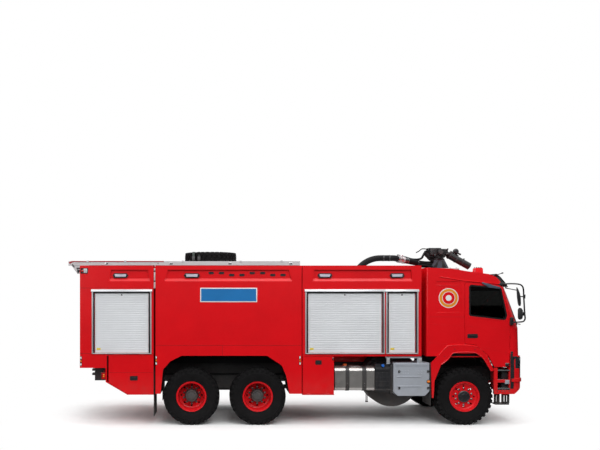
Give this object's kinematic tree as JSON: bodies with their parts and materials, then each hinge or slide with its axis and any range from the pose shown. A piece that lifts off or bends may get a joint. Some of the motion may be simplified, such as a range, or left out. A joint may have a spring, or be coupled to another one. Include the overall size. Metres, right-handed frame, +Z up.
{
  "type": "airport fire truck",
  "caption": "Six-wheel airport fire truck with a cab, three locker modules with roller shutters, a roof monitor, steps and a spare wheel on the roof.",
  "frame": {"origin": "on the ground under the middle of the whole truck's box", "axes": "+X forward along the truck, +Y to its left side, +Z up"},
  "size_m": [9.244, 3.05, 3.6798],
  "materials": {
    "red_paint": "gloss",
    "cab_red": "gloss",
    "rim_red": "satin",
    "frame_paint": "satin",
    "black_paint": "satin",
    "cast_metal": "matte",
    "black_plastic": "grained",
    "shutter_aluminium": "anodised",
    "frame_aluminium": "anodised",
    "tank_aluminium": "brushed",
    "box_aluminium": "satin",
    "tread_plate": "tread plate",
    "tyre_rubber": "matte",
    "flap_rubber": "matte",
    "seat_cloth": "woven",
    "window_glass": "tinted",
    "tinted_glass": "smoked",
    "clear_lamp": "clear",
    "red_lamp": "ribbed",
    "blue_lamp": "clear"
  },
  "bodies": {
    "truck": {"chassis_frame": "frame_paint", "engine_block": "cast_metal", "axles": "frame_paint", "leaf_springs": "frame_paint", "drive_shafts": "frame_paint", "front_bumper": "red_paint", "cab_steps": "tread_plate", "front_grille": "black_plastic", "headlamps": "clear_lamp", "cab_shell": "cab_red", "windscreen": "window_glass", "seats": "seat_cloth", "dashboard": "black_plastic", "sun_visor": "tinted_glass", "mirrors": "black_plastic", "fenders": "cab_red", "rear_body": "red_paint", "tank_body": "red_paint", "front_body": "red_paint", "shutters": "shutter_aluminium", "shutter_frames": "frame_aluminium", "roof_deck": "tread_plate", "roof_case": "tread_plate", "rear_ladder": "frame_aluminium", "spare_tyre": "tyre_rubber", "spare_rim": "rim_red", "fuel_tank": "tank_aluminium", "urea_tank": "black_plastic", "side_box": "box_aluminium", "left_tanks": "frame_paint", "mudflaps": "flap_rubber", "scene_lights": "clear_lamp", "rear_lamps": "red_lamp", "monitor_base": "frame_paint", "feed_pipe": "flap_rubber", "beacons": "blue_lamp"},
    "knuckle_left": {"knuckle_left": "cast_metal"},
    "knuckle_right": {"knuckle_right": "cast_metal"},
    "door_left": {"door_left": "cab_red", "door_glass_left": "window_glass"},
    "door_right": {"door_right": "cab_red", "door_glass_right": "window_glass"},
    "front_flap_left": {"front_flap_left": "red_paint"},
    "front_flap_right": {"front_flap_right": "red_paint"},
    "rear_flap_left": {"rear_flap_left": "red_paint"},
    "rear_flap_right": {"rear_flap_right": "red_paint"},
    "monitor_turret": {"monitor_turret": "black_paint"},
    "monitor_barrel": {"monitor_barrel": "black_paint"},
    "wheel_front_right": {"tyre_front_right": "tyre_rubber", "rim_front_right": "rim_red"},
    "wheel_front_left": {"tyre_front_left": "tyre_rubber", "rim_front_left": "rim_red"},
    "wheel_fore_bogie_right": {"tyre_fore_bogie_right": "tyre_rubber", "rim_fore_bogie_right": "rim_red"},
    "wheel_fore_bogie_left": {"tyre_fore_bogie_left": "tyre_rubber", "rim_fore_bogie_left": "rim_red"},
    "wheel_aft_bogie_right": {"tyre_aft_bogie_right": "tyre_rubber", "rim_aft_bogie_right": "rim_red"},
    "wheel_aft_bogie_left": {"tyre_aft_bogie_left": "tyre_rubber", "rim_aft_bogie_left": "rim_red"}
  },
  "joints": [
    {"name": "steer_left", "type": "hinge", "parent": "truck", "child": "knuckle_left", "pos_m": [3.414, 0.995, 0.575], "axis": [0, 0, 1], "range_deg": [-32, 32]},
    {"name": "steer_right", "type": "hinge", "parent": "truck", "child": "knuckle_right", "pos_m": [3.414, -0.995, 0.575], "axis": [0, 0, 1], "range_deg": [-32, 32]},
    {"name": "roll_front_right", "type": "hinge", "parent": "knuckle_right", "child": "wheel_front_right", "pos_m": [3.414, -1.065, 0.575], "axis": [0, 1, 0], "continuous": true},
    {"name": "roll_front_left", "type": "hinge", "parent": "knuckle_left", "child": "wheel_front_left", "pos_m": [3.414, 1.065, 0.575], "axis": [0, 1, 0], "continuous": true},
    {"name": "roll_fore_bogie_right", "type": "hinge", "parent": "truck", "child": "wheel_fore_bogie_right", "pos_m": [-0.785, -1.065, 0.575], "axis": [0, 1, 0], "continuous": true},
    {"name": "roll_fore_bogie_left", "type": "hinge", "parent": "truck", "child": "wheel_fore_bogie_left", "pos_m": [-0.785, 1.065, 0.575], "axis": [0, 1, 0], "continuous": true},
    {"name": "roll_aft_bogie_right", "type": "hinge", "parent": "truck", "child": "wheel_aft_bogie_right", "pos_m": [-2.135, -1.065, 0.575], "axis": [0, 1, 0], "continuous": true},
    {"name": "roll_aft_bogie_left", "type": "hinge", "parent": "truck", "child": "wheel_aft_bogie_left", "pos_m": [-2.135, 1.065, 0.575], "axis": [0, 1, 0], "continuous": true},
    {"name": "open_door_left", "type": "hinge", "parent": "truck", "child": "door_left", "pos_m": [4.332, 1.246, 2], "axis": [0, 0, -1], "range_deg": [0, 75]},
    {"name": "open_door_right", "type": "hinge", "parent": "truck", "child": "door_right", "pos_m": [4.332, -1.246, 2], "axis": [0, 0, 1], "range_deg": [0, 75]},
    {"name": "drop_front_flap_left", "type": "hinge", "parent": "truck", "child": "front_flap_left", "pos_m": [0.438, 1.279, 0.634], "axis": [-1, 0, 0], "range_deg": [0, 90]},
    {"name": "drop_front_flap_right", "type": "hinge", "parent": "truck", "child": "front_flap_right", "pos_m": [0.438, -1.279, 0.634], "axis": [1, 0, 0], "range_deg": [0, 90]},
    {"name": "lift_rear_flap_left", "type": "hinge", "parent": "truck", "child": "rear_flap_left", "pos_m": [-3.384, 1.279, 1.435], "axis": [1, 0, 0], "range_deg": [0, 90]},
    {"name": "lift_rear_flap_right", "type": "hinge", "parent": "truck", "child": "rear_flap_right", "pos_m": [-3.384, -1.279, 1.435], "axis": [-1, 0, 0], "range_deg": [0, 90]},
    {"name": "swing_monitor", "type": "hinge", "parent": "truck", "child": "monitor_turret", "pos_m": [3.29, 0, 3.42], "axis": [0, 0, 1], "range_deg": [-120, 120]},
    {"name": "raise_barrel", "type": "hinge", "parent": "monitor_turret", "child": "monitor_barrel", "pos_m": [3.42, 0, 3.59], "axis": [0, -1, 0], "range_deg": [0, 100]}
  ],
  "couplings": [
    {"joint": "steer_right", "follows": "steer_left", "ratio": 1}
  ]
}
